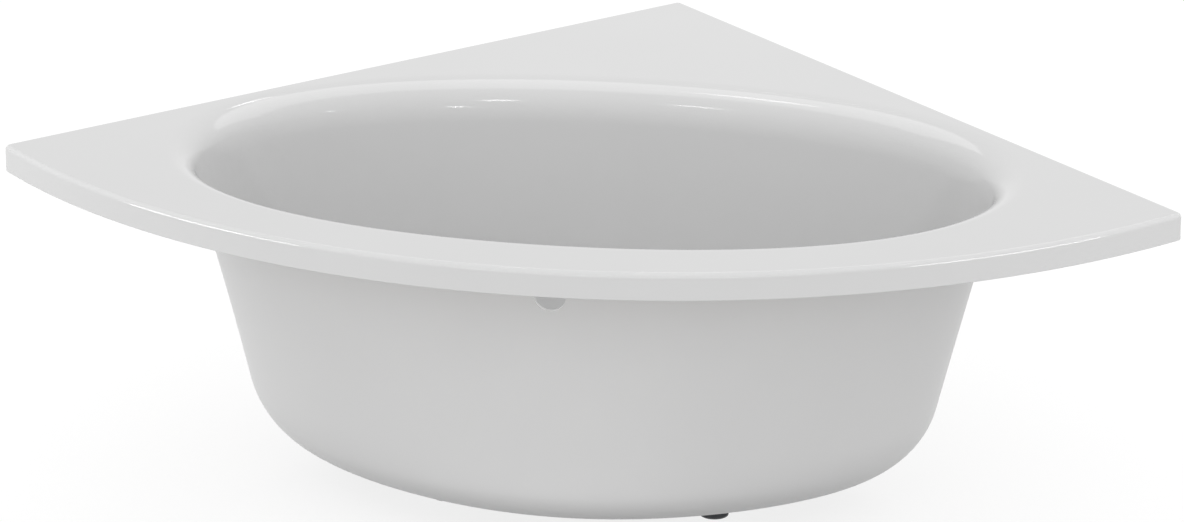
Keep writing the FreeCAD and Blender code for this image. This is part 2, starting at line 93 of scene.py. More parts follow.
# Legs and their fastenings
LEGS = ("front_left", "front_right", "rear_left", "rear_right", "centre")
ROD_RADIUS = 6 * MM
ROD_PITCH = 1.75 * MM
ROD_CHAMFER = 1.2 * MM
NUT_FLATS = 19 * MM
NUT_BORE = 6.1 * MM
RAIL_STEEL = 2 * MM
SCREW_LIP = 35 * MM
RAIL_SCREW_SPREAD = 40 * MM
BRACKET_SCREW_SPREAD = 35 * MM
SCREW_RADIUS = 2.4 * MM
SCREW_PITCH = 2 * MM
SCREW_THREAD = 0.7 * MM
SCREW_LENGTH = 16 * MM
SCREW_TIP = 4 * MM
SCREW_HEAD_RADIUS = 4.6 * MM
SCREW_HEAD_HEIGHT = 2.8 * MM
RECESS_REACH = 2.3 * MM
RECESS_HALF_WIDTH = 0.55 * MM
RECESS_DEPTH = 1.5 * MM

# The waste's flange, neck and tail, the spider in it, its nut, and the plug's cap
FLANGE_RADIUS = 35 * MM
FLANGE_THICKNESS = 3 * MM
FLANGE_EDGE = 1.2 * MM
NECK_RADIUS = 24.8 * MM
TAIL_RADIUS = 23.9 * MM
TAIL_PITCH = 2.309 * MM
TAIL_CHAMFER = 1 * MM
TAIL_BORE = 20.5 * MM
SEAT_CONE_RADIUS = 25.5 * MM
SEAT_CONE_DEPTH = 5 * MM
SPIDER_DROP = 20 * MM
SPIDER_HEIGHT = 5 * MM
SPIDER_ARMS = 4
SPIDER_ARM_WIDTH = 3.6 * MM
HUB_RADIUS = 11 * MM
HUB_BORE = 8.05 * MM
BACK_NUT_FLATS = 66 * MM
BACK_NUT_BORE = 24.85 * MM
CAP_RADIUS = 31 * MM
CAP_THICKNESS = 4 * MM
CAP_CROWN = 1.6 * MM
CAP_EDGE = 0.8 * MM
BOSS_RADIUS = 16 * MM
SOCKET_RADIUS = 3.25 * MM
SOCKET_DEPTH = 4 * MM

# The wall at the back, the ends and the front: size and depth of its roll, lean, and sweep into the floor
Side = namedtuple("Side", "roll drop lean sweep")
BACK = Side(110 * MM, 80 * MM, radians(20.0), 90 * MM)
END = Side(59 * MM, 42 * MM, radians(15.65), 134 * MM)
FRONT = Side(30 * MM, 30 * MM, radians(4.5), 45 * MM)

# Small shares and strips of the meshes. The shares are of the radius, pitch or width that they go with.
# The lid's rounding starts at an angle in degrees.
FLAT_STRIP = 1 * MM
OVERFLOW_PATCH = 1.5
OVERFLOW_RING = 1.2
THREAD_DEPTH = 0.6
THREAD_FLAT = 0.1
NUT_FACE = 0.475
NUT_SINK = 0.4 * MM
NUT_CHAMFER = radians(30)
SCREW_POINT = 0.4
RECESS_FLOOR = 0.6
DISH_STRIP = 2 * MM
SPIDER_SUNK = 0.5 * MM
CAP_EDGE_START = 75

# How finely the meshes follow the curves, and how often a searched size is refined
SHOWN_AROUND = 480
HIDDEN_AROUND = 200
ROLL_STEPS = 28
BACK_ROLL_STEPS = 12
WALL_STEPS = 18
SWEEP_STEPS = 18
FRONT_STEPS = 200
WALL_EDGE_STEPS = 80
CORNER_STEPS = 8
EDGE_STEPS = 8
HOLE_STEPS = 64
PATCHES_AROUND = 40
THREAD_SIDES = 32
THREAD_ROWS = 8
NUT_STEPS = 72
BATTEN_STEPS = 60
BATTEN_CORNER_STEPS = 3
HEM_STEPS = 3
ROUNDING_STEPS = 6
CROWN_STEPS = 12
HALVINGS = 50
REFINEMENTS = 6

DECK_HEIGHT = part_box("acrylic_shell")[1].z
CORNER_CUT = (sqrt(2) - 1) * RIM_CORNER_RADIUS
FRONT_Y = -(CORNER_TO_FRONT - CORNER_CUT) / 2
CORNER_Y = FRONT_Y + CORNER_TO_FRONT
WELL_BACK_Y = CORNER_Y - CORNER_DECK
WELL_FRONT_Y = FRONT_Y + FRONT_DECK
HALF_WIDTH = SIDE_LENGTH / sqrt(2)
FRONT_BOW = CORNER_TO_FRONT - HALF_WIDTH
FRONT_RADIUS = (HALF_WIDTH ** 2 + FRONT_BOW ** 2) / (2 * FRONT_BOW)
FRONT_CENTRE_Y = FRONT_Y + FRONT_RADIUS
WELL_MIDDLE = (0.0, (WELL_FRONT_Y + WELL_BACK_Y) / 2)

# A face of the skin lies some offset behind the bathing surface. It has its own floor depth and columns.
Face = namedtuple("Face", "offset floor around")
BATHING = Face(0.0, WELL_DEPTH, SHOWN_AROUND)
SHEET_BACK = Face(ACRYLIC, WELL_DEPTH + ACRYLIC, HIDDEN_AROUND)
LAMINATE_FRONT = Face(ACRYLIC + SEAM_GAP, WELL_DEPTH + ACRYLIC + SEAM_GAP, HIDDEN_AROUND)
OUTSIDE = Face(SKIN, BASE_DEPTH, HIDDEN_AROUND)


class Skin:
    """A closed mesh put together from loops of points."""

    def __init__(self):
        self.points = []
        self.faces = []

    def loop(self, points):
        """Adds points and gives back their numbers."""
        start = len(self.points)
        self.points.extend(points)
        return list(range(start, len(self.points)))

    def band(self, first, second, skip=()):
        """Quads between two loops of the same length, but for the columns that are skipped."""
        count = len(first)
        for i in range(count):
            if i not in skip:
                j = (i + 1) % count
                self.faces.append((first[i], first[j], second[j], second[i]))

    def bands(self, loops):
        """Quads between each loop and the next."""
        for first, second in zip(loops, loops[1:]):
            self.band(first, second)

    def ring(self, loops):
        """Bands that close on themselves."""
        self.bands(loops + loops[:1])

    def plug(self, loops):
        """Bands with a flat face on both ends."""
        self.bands(loops)
        self.faces += [loops[0], loops[-1]]

    def zip(self, outer, inner, centre, plane=(0, 1)):
        """Triangles between two loops of any length that go round a centre, seen in a plane."""
        def turns(loop):
            angles = []
            for index in loop:
                point = self.points[index]
                angles.append(atan2(point[plane[1]] - centre[1], point[plane[0]] - centre[0]))
            start = angles.index(min(angles))
            around = loop[start:] + loop[:start + 1]
            return around, angles[start:] + angles[:start] + [angles[start] + 2 * pi]

        outer, outer_turns = turns(outer)
        inner, inner_turns = turns(inner)
        i = j = 0
        while i < len(outer) - 1 or j < len(inner) - 1:
            if j == len(inner) - 1 or (i < len(outer) - 1 and outer_turns[i + 1] <= inner_turns[j + 1]):
                self.faces.append((outer[i], outer[i + 1], inner[j]))
                i += 1
            else:
                self.faces.append((outer[i], inner[j + 1], inner[j]))
                j += 1

    def piece(self, name, body, material, node_name, sharp_degrees=38):
        """The mesh as a piece that rides on a body and stands for a CAD node."""
        used = sorted({index for face in self.faces for index in face})
        renumbered = {index: i for i, index in enumerate(used)}
        mesh = bpy.data.meshes.new(name)
        faces = [[renumbered[index] for index in face] for face in self.faces]
        mesh.from_pydata([self.points[index] for index in used], [], faces)
        outward = bmesh.new()
        outward.from_mesh(mesh)
        bmesh.ops.recalc_face_normals(outward, faces=outward.faces)
        outward.to_mesh(mesh)
        outward.free()
        mesh.polygons.foreach_set("use_smooth", [True] * len(mesh.polygons))
        mesh.set_sharp_from_angle(angle=radians(sharp_degrees))
        mesh.materials.append(material)
        made = bpy.data.objects.new(name, mesh)
        bpy.context.collection.objects.link(made)
        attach(made, body)
        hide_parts(node_name)


def level(depth):
    """The height of a depth under the deck."""
    return DECK_HEIGHT - depth


def oval_point(angle, half, front, back, fullness, taper=0.0):
    """A point of an oval: an ellipse at fullness 0, squarer above it, and an egg with a taper."""
    x = half * cos(angle) * (1 + fullness * sin(angle) ** 2 + taper * sin(angle))
    y = (front + back) / 2 + (back - front) / 2 * sin(angle) * (1 + fullness * cos(angle) ** 2)
    return x, y


def half_length_of_well():
    """The well's half length at the deck, which leaves the narrowest deck along both walls."""
    def deck_left(half):
        turns = [radians(degrees) for degrees in range(91)]
        points = [oval_point(turn, half, WELL_FRONT_Y, WELL_BACK_Y, TOP_FULLNESS) for turn in turns]
        return (CORNER_Y - max(x + y for x, y in points)) / sqrt(2)

    short = 0.0
    long = CORNER_TO_FRONT
    for _ in range(HALVINGS):
        middle = (short + long) / 2
        if deck_left(middle) > WALL_DECK:
            short = middle
        else:
            long = middle
    return short


WELL_HALF = half_length_of_well()


def roll_axes(side, face):
    """Half axes of the roll's ellipse, on the wall that a round roll would meet."""
    rise = side.drop * sin(side.lean)
    reach = sqrt((side.roll * (1 - sin(side.lean)) + rise) ** 2 - rise ** 2) / cos(side.lean)
    return reach - face.offset, side.drop - face.offset


def roll_turn(side, face):
    """How far the roll's ellipse turns before it meets the wall."""
    reach, drop = roll_axes(side, face)
    return atan2(reach, drop * tan(side.lean))


def roll_end(side, face):
    """The depth at which the roll meets the wall."""
    return side.drop - roll_axes(side, face)[1] * cos(roll_turn(side, face))


def sweep_radius(side, face):
    """The radius of the curve from the wall into the floor."""
    return side.sweep + face.floor - WELL_DEPTH


def sweep_start(side, face):
    """The depth at which the wall turns into the floor."""
    return face.floor - sweep_radius(side, face) * (1 - sin(side.lean))


def wall_inset(side, depth, face):
    """How far inside the start of the roll the straight wall lies at a depth."""
    roll_inset = roll_axes(side, face)[0] * sin(roll_turn(side, face))
    return roll_inset + (depth - roll_end(side, face)) * tan(side.lean)


def floor_inset(side, face):
    """How far inside the start of the roll the flat floor begins."""
    return wall_inset(side, sweep_start(side, face), face) + sweep_radius(side, face) * cos(side.lean)


def inset(side, depth, face):
    """How far inside the start of the roll the face lies at a depth: roll, wall or sweep."""
    if depth < roll_end(side, face):
        reach, drop = roll_axes(side, face)
        return reach * sqrt(max(1 - ((side.drop - depth) / drop) ** 2, 0.0))
    if depth <= sweep_start(side, face):
        return wall_inset(side, depth, face)
    radius = sweep_radius(side, face)
    return floor_inset(side, face) - sqrt(max(radius ** 2 - (depth - face.floor + radius) ** 2, 0.0))


def fullness_at(depth):
    """The oval's fullness, which fades from the deck to the base."""
    return TOP_FULLNESS + (BASE_FULLNESS - TOP_FULLNESS) * depth / BASE_DEPTH


def oval_at(depth, face, grow=0.0):
    """Half length, front, back, fullness and taper of the well at a depth."""
    return (
        WELL_HALF - inset(END, depth, face) + grow,
        WELL_FRONT_Y + inset(FRONT, depth, face) - grow,
        WELL_BACK_Y - inset(BACK, depth, face) + grow,
        fullness_at(depth),
        BASE_TAPER * depth / BASE_DEPTH,
    )


def well_loop(depth, face, grow=0.0):
    """The level outline of the well, from the middle of the front and anticlockwise."""
    oval = oval_at(depth, face, grow)
    angles = [-pi / 2 + 2 * pi * i / face.around for i in range(face.around)]
    return [(*oval_point(angle, *oval), level(depth)) for angle in angles]


def front_wall_point(x, depth, face):
    """The point of the front wall at a distance from the middle line and a depth."""
    half, front, back, fullness, taper = oval_at(depth, face)
    across = x / half
    for _ in range(REFINEMENTS):
        forward = sqrt(1 - across ** 2)
        across = x / half / (1 + fullness * forward ** 2 - taper * forward)
    return (*oval_point(-acos(across), half, front, back, fullness, taper), level(depth))


def well_depths(face):
    """Depths of the rings of a face, close together where the wall turns."""
    front_turn = pi / 2 - FRONT.lean
    arc = FRONT.roll - face.offset
    depths = [FRONT.roll - arc * cos(front_turn * i / ROLL_STEPS) for i in range(ROLL_STEPS + 1)]
    low = roll_end(BACK, face)
    depths += [depths[-1] + (low - depths[-1]) * i / BACK_ROLL_STEPS for i in range(1, BACK_ROLL_STEPS + 1)]
    high = sweep_start(END, face)
    depths += [low + (high - low) * i / WALL_STEPS for i in range(1, WALL_STEPS + 1)]
    radius = sweep_radius(END, face)
    turns = [END.lean + (pi / 2 - END.lean) * i / SWEEP_STEPS for i in range(1, SWEEP_STEPS + 1)]
    return depths + [face.floor - radius * (1 - sin(turn)) for turn in turns]


def rim_loop(inset_by, depth):
    """The rim's outline, drawn in from its edge, from the middle of the front and anticlockwise."""
    radius = RIM_CORNER_RADIUS - inset_by
    wall_sum = CORNER_Y - RIM_CORNER_RADIUS * sqrt(2)
    arc = FRONT_RADIUS - RIM_CORNER_RADIUS
    reach = wall_sum - FRONT_CENTRE_Y
    end_x = (reach + sqrt(2 * arc ** 2 - reach ** 2)) / 2
    end_y = wall_sum - end_x
    end_turn = atan2(end_y - FRONT_CENTRE_Y, end_x)
    front = FRONT_RADIUS - inset_by
    points = []
    for i in range(FRONT_STEPS // 2 + 1):
        turn = -pi / 2 + (end_turn + pi / 2) * i / (FRONT_STEPS // 2)
        points.append((front * cos(turn), FRONT_CENTRE_Y + front * sin(turn)))
    for i in range(1, CORNER_STEPS + 1):
        turn = end_turn + (pi / 4 - end_turn) * i / CORNER_STEPS
        points.append((end_x + radius * cos(turn), end_y + radius * sin(turn)))
    start = points[-1]
    corner = (radius * cos(pi / 4), wall_sum + radius * sin(pi / 4))
    for i in range(1, WALL_EDGE_STEPS):
        share = i / WALL_EDGE_STEPS
        x = start[0] + (corner[0] - start[0]) * share
        y = start[1] + (corner[1] - start[1]) * share
        points.append((x, y))
    for i in range(CORNER_STEPS // 2 + 1):
        turn = pi / 4 + pi / 4 * i / (CORNER_STEPS // 2)
        points.append((radius * cos(turn), wall_sum + radius * sin(turn)))
    mirrored = [(-x, y) for x, y in reversed(points[1:-1])]
    return [(x, y, level(depth)) for x, y in points + mirrored]


WASTE = (0.0, WELL_FRONT_Y + floor_inset(FRONT, BATHING) + WASTE_SETBACK)
HOLE_CENTRE = (0.0, level(OVERFLOW_DEPTH))


def circle(centre, radius, z, steps=HOLE_STEPS):
    """A level circle round an upright axis."""
    turns = [2 * pi * i / steps for i in range(steps)]
    return [(centre[0] + radius * cos(turn), centre[1] + radius * sin(turn), z) for turn in turns]


def overflow_ring(radius, face):
    """A ring on the front wall round the overflow hole."""
    turns = [2 * pi * i / HOLE_STEPS for i in range(HOLE_STEPS)]
    return [
        front_wall_point(radius * cos(turn), OVERFLOW_DEPTH - radius * sin(turn) * cos(FRONT.lean), face)
        for turn in turns
    ]


def add_well(skin, face):
    """One face of the well with the overflow hole in it. Gives back its top loop, floor loop and hole."""
    depths = well_depths(face)
    loops = [skin.loop(well_loop(depth, face)) for depth in depths]
    clear = OVERFLOW_PATCH * OVERFLOW_RADIUS
    above = max(i for i, depth in enumerate(depths) if depth < OVERFLOW_DEPTH - clear)
    below = min(i for i, depth in enumerate(depths) if depth > OVERFLOW_DEPTH + clear)
    half = face.around // PATCHES_AROUND // 2
    columns = [i % face.around for i in range(-half, half + 1)]
    for i, (first, second) in enumerate(zip(loops, loops[1:])):
        skin.band(first, second, columns[:-1] if above <= i < below else ())
    border = [loops[below][i] for i in columns]
    border += [loops[i][columns[-1]] for i in range(below - 1, above, -1)]
    border += [loops[above][i] for i in reversed(columns)]
    border += [loops[i][columns[0]] for i in range(above + 1, below)]
    wide = skin.loop(overflow_ring(OVERFLOW_RING * OVERFLOW_RADIUS, face))
    hole = skin.loop(overflow_ring(OVERFLOW_RADIUS, face))
    skin.zip(border, wide, HOLE_CENTRE, (0, 2))
    skin.band(wide, hole)
    return loops[0], loops[-1], hole


def acrylic_sheet(material):
    """The formed sheet: deck, turned-down rim, and well with a dished seat for the waste."""
    skin = Skin()
    edge = [pi / 2 * i / EDGE_STEPS for i in range(EDGE_STEPS + 1)]
    hem = [pi / 2 * i / HEM_STEPS for i in range(HEM_STEPS + 1)]
    inner = RIM_EDGE_RADIUS - ACRYLIC
    flat = RIM_EDGE_RADIUS + FLAT_STRIP
    profile = [(flat, 0.0)]
    profile += [(RIM_EDGE_RADIUS * (1 - sin(t)), RIM_EDGE_RADIUS * (1 - cos(t))) for t in edge]
    profile += [(0.0, flat), (0.0, RIM_HEIGHT - 2 * HEM_RADIUS)]
    profile += [(HEM_RADIUS * (1 - cos(t)), RIM_HEIGHT - HEM_RADIUS * (1 - sin(t))) for t in hem]
    profile += [(ACRYLIC - HEM_RADIUS * (1 - sin(t)), RIM_HEIGHT - HEM_RADIUS * (1 - cos(t))) for t in hem]
    profile += [(ACRYLIC + inner * (1 - cos(t)), RIM_EDGE_RADIUS - inner * sin(t)) for t in edge]
    profile += [(flat, ACRYLIC)]
    rim = [skin.loop(rim_loop(*place)) for place in profile]
    skin.bands(rim)

    top, floor, hole = add_well(skin, BATHING)
    back_top, back_floor, back_hole = add_well(skin, SHEET_BACK)
    deck = skin.loop(well_loop(0.0, BATHING, FLAT_STRIP))
    deck_back = skin.loop(well_loop(ACRYLIC, SHEET_BACK, FLAT_STRIP))
    skin.zip(rim[0], deck, WELL_MIDDLE)
    skin.band(deck, top)
    skin.zip(rim[-1], deck_back, WELL_MIDDLE)
    skin.band(deck_back, back_top)
    skin.band(hole, back_hole)

    floor_z = level(WELL_DEPTH)
    seat_z = floor_z - DISH_DEPTH
    dish = [
        (DISH_RADIUS + DISH_SLOPE + DISH_STRIP, floor_z),
        (DISH_RADIUS + DISH_SLOPE, floor_z),
        (DISH_RADIUS, seat_z),
        (WASTE_RADIUS, seat_z),
        (WASTE_RADIUS, seat_z - ACRYLIC),
        (DISH_RADIUS + ACRYLIC, seat_z - ACRYLIC),
        (DISH_RADIUS + DISH_SLOPE + ACRYLIC, floor_z - ACRYLIC),
    ]
    dish = [skin.loop(circle(WASTE, *place)) for place in dish]
    skin.bands(dish)
    skin.zip(floor, dish[0], WASTE)
    skin.zip(back_floor, dish[-1], WASTE)
    skin.piece("acrylic_sheet", "bath", material, "acrylic_shell")


def laminate_skin(material):
    """The laminate on the back of the sheet and round the board, open for the waste's nut."""
    skin = Skin()
    rim = [skin.loop(rim_loop(RIM_EDGE_RADIUS, depth)) for depth in (ACRYLIC + SEAM_GAP, SKIN)]
    skin.bands(rim)
    top, floor, hole = add_well(skin, LAMINATE_FRONT)
    back_top, back_floor, back_hole = add_well(skin, OUTSIDE)
    skin.zip(rim[0], top, WELL_MIDDLE)
    skin.zip(rim[1], back_top, WELL_MIDDLE)
    skin.band(hole, back_hole)

    base_z = level(BASE_DEPTH)
    board_top = level(LAMINATE_FRONT.floor)
    board_under = base_z + LAMINATE
    outline = well_loop(BASE_DEPTH, OUTSIDE, -BOARD_MARGIN)
    board = [skin.loop([(x, y, z) for x, y, _ in outline]) for z in (board_top, board_under)]
    pocket_z = level(WELL_DEPTH) - DISH_DEPTH - SKIN
    seat_z = pocket_z + LAMINATE - SEAM_GAP
    waste = [
        (POCKET_RADIUS + LAMINATE, board_under),
        (POCKET_RADIUS + LAMINATE, board_top),
        (DISH_RADIUS + DISH_SLOPE + ACRYLIC + SEAM_GAP, board_top),
        (DISH_RADIUS + ACRYLIC + SEAM_GAP, seat_z),
        (WASTE_RADIUS, seat_z),
        (WASTE_RADIUS, pocket_z),
        (POCKET_RADIUS, pocket_z),
        (POCKET_RADIUS, base_z),
        (POCKET_RADIUS + DISH_STRIP, base_z),
    ]
    waste = [skin.loop(circle(WASTE, *place)) for place in waste]
    skin.bands([floor] + board)
    skin.zip(board[1], waste[0], WASTE)
    skin.bands(waste)
    skin.zip(back_floor, waste[-1], WASTE)
    skin.piece("laminate_skin", "bath", material, "fibreglass_backing")


def batten_section(place):
    """A loop round a batten with eased corners. A point's place comes from its way across and down."""
    points = []
    for k, (across, down) in enumerate(((0, 0), (1, 0), (1, 1), (0, 1))):
        u = BATTEN_EASE + across * (BATTEN_WIDTH - 2 * BATTEN_EASE)
        v = BATTEN_EASE + down * (BATTEN_HEIGHT - 2 * BATTEN_EASE)
        for i in range(BATTEN_CORNER_STEPS + 1):
            turn = pi + k * pi / 2 + pi / 2 * i / BATTEN_CORNER_STEPS
            points.append(place(u + BATTEN_EASE * cos(turn), v + BATTEN_EASE * sin(turn)))
    return points


def wall_batten(name, start, length, hand, material):
    """A straight batten beside a wall edge, from a distance from the corner."""
    def at(along):
        def place(across, down):
            sideways = along - BATTEN_INSET - across
            forward = along + BATTEN_INSET + across
            return hand * sideways / sqrt(2), CORNER_Y - forward / sqrt(2), level(SKIN) - down
        return place

    skin = Skin()
    skin.plug([skin.loop(batten_section(at(along))) for along in (start, start + length)])
    skin.piece("eased_" + name, "bath", material, name)


def front_batten(material):
    """A batten bent to the bow of the front."""
    radius = FRONT_RADIUS - BATTEN_INSET
    half_turn = asin((HALF_WIDTH - FRONT_BATTEN_END_GAP) / radius)

    def at(turn):
        def place(across, down):
            reach = radius - across
            return reach * sin(turn), FRONT_CENTRE_Y - reach * cos(turn), level(SKIN) - down
        return place

    turns = [half_turn * (2 * i / BATTEN_STEPS - 1) for i in range(BATTEN_STEPS + 1)]
    skin = Skin()
    skin.plug([skin.loop(batten_section(at(turn))) for turn in turns])
    skin.piece("eased_front_batten", "bath", material, "front_batten")


def axis_of(node_name):
    """The upright axis of a round CAD node."""
    low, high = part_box(node_name)
    return (low.x + high.x) / 2, (low.y + high.y) / 2


def heights_of(node_name):
    """Lowest and highest point of a CAD node."""
    low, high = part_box(node_name)
    return low.z, high.z


def rounding(radius, z, edge, start, end):
    """Radius and height of points on a rounded edge, from one angle to another."""
    degrees = [start + (end - start) * i / ROUNDING_STEPS for i in range(ROUNDING_STEPS + 1)]
    turns = [radians(turn) for turn in degrees]
    return [(radius + edge * cos(turn), z + edge * sin(turn)) for turn in turns]


def thread(centre, bottom, top, pitch, depth, crest_at, steps):
    """Level loops of a right-hand thread, with flat crests and roots and sloping flanks."""
    count = round((top - bottom) / pitch * THREAD_ROWS)
    loops = []
    for row in range(count + 1):
        z = bottom + (top - bottom) * row / count
        points = []
        for i in range(steps):
            turn = 2 * pi * i / steps
            phase = (z / pitch - i / steps) % 1
            slope = (abs(2 * phase - 1) - THREAD_FLAT) / (1 - 2 * THREAD_FLAT)
            radius = crest_at(z) - depth * min(max(slope, 0.0), 1.0)
            points.append((centre[0] + radius * cos(turn), centre[1] + radius * sin(turn), z))
        loops.append(points)
    return loops


def threaded_rod(place, material):
    """A leg's rod, threaded from end to end, with chamfered ends."""
    node_name = "leg_rod_" + place
    bottom, top = heights_of(node_name)

    def crest_at(z):
        return min(ROD_RADIUS, ROD_RADIUS - ROD_CHAMFER + min(z - bottom, top - z))

    skin = Skin()
    depth = THREAD_DEPTH * ROD_PITCH
    loops = thread(axis_of(node_name), bottom, top, ROD_PITCH, depth, crest_at, THREAD_SIDES)
    skin.plug([skin.loop(points) for points in loops])
    skin.piece("threaded_rod_" + place, "leg_" + place, material, node_name)


def add_nut(skin, centre, flats, bore, bottom, top):
    """A hexagon nut with chamfered corners and a countersunk bore."""
    face_radius = NUT_FACE * flats

    def corner_loop(z, way):
        points = []
        for i in range(NUT_STEPS):
            turn = 2 * pi * i / NUT_STEPS
            radius = flats / 2 / cos(turn % (pi / 3) - pi / 6)
            drop = (radius - face_radius) * tan(NUT_CHAMFER)
            points.append((centre[0] + radius * cos(turn), centre[1] + radius * sin(turn), z + way * drop))
        return points

    def ring(radius, z):
        return circle(centre, radius, z, NUT_STEPS)

    loops = [
        ring(bore, bottom + NUT_SINK),
        ring(bore + NUT_SINK, bottom),
        ring(face_radius, bottom),
        corner_loop(bottom, 1),
        corner_loop(top, -1),
        ring(face_radius, top),
        ring(bore + NUT_SINK, top),
        ring(bore, top - NUT_SINK),
    ]
    skin.ring([skin.loop(points) for points in loops])


def leg_nuts(node_name, material):
    """One nut on each leg."""
    skin = Skin()
    for place in LEGS:
        add_nut(skin, axis_of("leg_rod_" + place), NUT_FLATS, NUT_BORE, *heights_of(node_name))
    skin.piece("chamfered_" + node_name, "bath", material, node_name)


def back_nut(material):
    """The large nut under the waste."""
    skin = Skin()
    add_nut(skin, WASTE, BACK_NUT_FLATS, BACK_NUT_BORE, *heights_of("waste_back_nut"))
    skin.piece("chamfered_back_nut", "bath", material, "waste_back_nut")


def add_screw(skin, centre, seat):
    """A pan-head wood screw, point up, with a cross recess in its head."""
    tip = seat + SCREW_LENGTH

    def crest_at(z):
        return SCREW_RADIUS * (1 - (1 - SCREW_POINT) * max(z - tip + SCREW_TIP, 0.0) / SCREW_TIP)

    def ring(radius, z):
        return circle(centre, radius, z, THREAD_SIDES)

    def cross(size, z):
        reach = size * RECESS_REACH
        half = size * RECESS_HALF_WIDTH
        points = []
        for quarter in range(4):
            c = cos(quarter * pi / 2)
            s = sin(quarter * pi / 2)
            for x, y in ((reach, -half), (reach, half), (half, half)):
                points.append((centre[0] + c * x - s * y, centre[1] + s * x + c * y, z))
        return points

    shank = thread(centre, seat, tip, SCREW_PITCH, SCREW_THREAD, crest_at, THREAD_SIDES)[::-1]
    edge = SCREW_HEAD_HEIGHT / 2
    under = seat - SCREW_HEAD_HEIGHT
    head = [(SCREW_HEAD_RADIUS, seat)] + rounding(SCREW_HEAD_RADIUS - edge, under + edge, edge, 0, -90)
    loops = [skin.loop(points) for points in shank] + [skin.loop(ring(*place)) for place in head]
    skin.faces.append(loops[0])
    skin.bands(loops)
    recess = [skin.loop(cross(1.0, under)), skin.loop(cross(RECESS_FLOOR, under + RECESS_DEPTH))]
    skin.zip(loops[-1], recess[0], centre)
    skin.band(*recess)
    skin.faces.append(recess[1])


def rail_screws(material):
    """Four screws in the lips of each rail and of the bracket."""
    skin = Skin()
    spreads = {
        "leg_rail_left": RAIL_SCREW_SPREAD,
        "leg_rail_right": RAIL_SCREW_SPREAD,
        "leg_bracket_centre": BRACKET_SCREW_SPREAD,
    }
    for rail, spread in spreads.items():
        x, y = axis_of(rail)
        seat = heights_of(rail)[1] - RAIL_STEEL
        for side in (-1, 1):
            for end in (-1, 1):
                add_screw(skin, (x + side * SCREW_LIP, y + end * spread), seat)
    skin.piece("cross_head_screws", "bath", material, "rail_screws")


def waste_body(material):
    """The waste's flange and neck, its threaded tail, and the spider that holds the plug's cartridge."""
    tail_end, top = heights_of("waste_flange")
    nut_under = heights_of("waste_back_nut")[0]
    under = top - FLANGE_THICKNESS

    def crest_at(z):
        return min(TAIL_RADIUS, TAIL_RADIUS - TAIL_CHAMFER + z - tail_end)

    outside = [(SEAT_CONE_RADIUS, top)]
    outside += rounding(FLANGE_RADIUS - FLANGE_EDGE, top - FLANGE_EDGE, FLANGE_EDGE, 90, 0)
    outside += [(FLANGE_RADIUS, under), (NECK_RADIUS, under), (NECK_RADIUS, nut_under)]
    inside = [(TAIL_BORE, tail_end), (TAIL_BORE, top - SEAT_CONE_DEPTH)]
    depth = THREAD_DEPTH * TAIL_PITCH
    tail = thread(WASTE, tail_end, nut_under, TAIL_PITCH, depth, crest_at, HOLE_STEPS)[::-1]
    skin = Skin()
    loops = [skin.loop(circle(WASTE, *place)) for place in outside]
    loops += [skin.loop(points) for points in tail]
    loops += [skin.loop(circle(WASTE, *place)) for place in inside]
    skin.ring(loops)

    spider_top = under - SPIDER_DROP
    spider_under = spider_top - SPIDER_HEIGHT
    hub = [
        (HUB_BORE, spider_under),
        (HUB_RADIUS, spider_under),
        (HUB_RADIUS, spider_top),
        (HUB_BORE, spider_top),
    ]
    skin.ring([skin.loop(circle(WASTE, *place)) for place in hub])
    half = SPIDER_ARM_WIDTH / 2
    start = HUB_RADIUS - SPIDER_SUNK
    end = TAIL_BORE + SPIDER_SUNK
    for i in range(SPIDER_ARMS):
        turn = pi / 4 + 2 * pi * i / SPIDER_ARMS
        c = cos(turn)
        s = sin(turn)
        corners = ((start, -half), (end, -half), (end, half), (start, half))
        plan = [(c * x - s * y, WASTE[1] + s * x + c * y) for x, y in corners]
        skin.plug([skin.loop([(x, y, z) for x, y in plan]) for z in (spider_under, spider_top)])
    skin.piece("threaded_waste", "bath", material, "waste_flange")


def plug_lid(material):
    """The crowned cap of the plug with a rounded edge, and the boss below it."""
    boss_under, crown = heights_of("plug_cap")
    under = crown - CAP_THICKNESS
    dome = (CAP_RADIUS ** 2 + CAP_CROWN ** 2) / (2 * CAP_CROWN)
    flat = CAP_RADIUS - CAP_EDGE
    rings = [flat * i / CROWN_STEPS for i in range(1, CROWN_STEPS + 1)]
    profile = [(radius, crown - dome + sqrt(dome ** 2 - radius ** 2)) for radius in rings]
    profile += rounding(flat, profile[-1][1] - CAP_EDGE, CAP_EDGE, CAP_EDGE_START, 0)
    profile += rounding(CAP_RADIUS - CAP_EDGE / 2, under + CAP_EDGE / 2, CAP_EDGE / 2, 0, -90)
    profile += [(BOSS_RADIUS, under), (BOSS_RADIUS, boss_under), (SOCKET_RADIUS, boss_under)]
    profile += [(SOCKET_RADIUS, boss_under + SOCKET_DEPTH)]
    skin = Skin()
    skin.plug([skin.loop(circle(WASTE, *place)) for place in profile])
    skin.piece("crowned_plug_cap", "plug", material, "plug_cap")


def linear(hex_colour):
    """An sRGB hex colour as linear RGBA."""
    channels = [int(hex_colour[i:i + 2], 16) / 255 for i in (1, 3, 5)]
    return [c / 12.92 if c <= 0.04045 else ((c + 0.055) / 1.055) ** 2.4 for c in channels] + [1.0]


def node(tree, kind, inputs=None, **settings):
    """Adds a node with its settings, and sets or links its inputs by name or number."""
    made = tree.nodes.new("ShaderNode" + kind)
    for name, value in settings.items():
        setattr(made, name, value)
    for name, value in (inputs or {}).items():
        if isinstance(value, bpy.types.NodeSocket):
            tree.links.new(value, made.inputs[name])
        else:
            made.inputs[name].default_value = value
    return made


